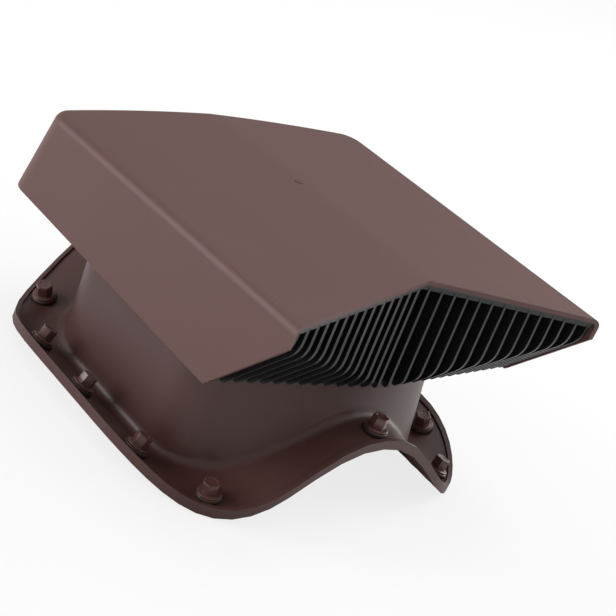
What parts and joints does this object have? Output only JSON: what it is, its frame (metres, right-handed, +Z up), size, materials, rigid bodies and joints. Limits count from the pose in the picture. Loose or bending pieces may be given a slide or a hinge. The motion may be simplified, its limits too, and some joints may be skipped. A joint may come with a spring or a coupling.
{
  "type": "roof vent",
  "caption": "Brown plastic roof vent for wave-shaped tile sheet: flange following the wave, oval duct, wedge hood and prow front of bent black slats, screwed down all round.",
  "frame": {"origin": "on the symmetry plane below the centre of the duct, at the level of the roof sheet's troughs, where the flange rests", "axes": "+Z up at right angles to the roof sheet, -Y down the roof towards the grille, +X to the right across the waves as seen from the front"},
  "size_m": [0.238, 0.234, 0.1309],
  "materials": {
    "base_plastic": "matt brown moulded plastic",
    "hood_plastic": "fine matt brown moulded plastic",
    "grille_plastic": "black moulded plastic with a slight sheen",
    "screw_paint": "brown powder paint on steel",
    "washer_seal": "brown faced sealing washer"
  },
  "bodies": {
    "root": {"base": "base_plastic", "hood": "hood_plastic", "grille": "grille_plastic", "screw_front": "screw_paint", "screw_back": "screw_paint", "screw_l1": "screw_paint", "screw_l2": "screw_paint", "screw_l3": "screw_paint", "screw_l4": "screw_paint", "screw_l5": "screw_paint", "screw_r1": "screw_paint", "screw_r2": "screw_paint", "screw_r3": "screw_paint", "screw_r4": "screw_paint", "screw_r5": "screw_paint", "washer_front": "washer_seal", "washer_back": "washer_seal", "washer_l1": "washer_seal", "washer_l2": "washer_seal", "washer_l3": "washer_seal", "washer_l4": "washer_seal", "washer_l5": "washer_seal", "washer_r1": "washer_seal", "washer_r2": "washer_seal", "washer_r3": "washer_seal", "washer_r4": "washer_seal", "washer_r5": "washer_seal"}
  },
  "joints": []
}
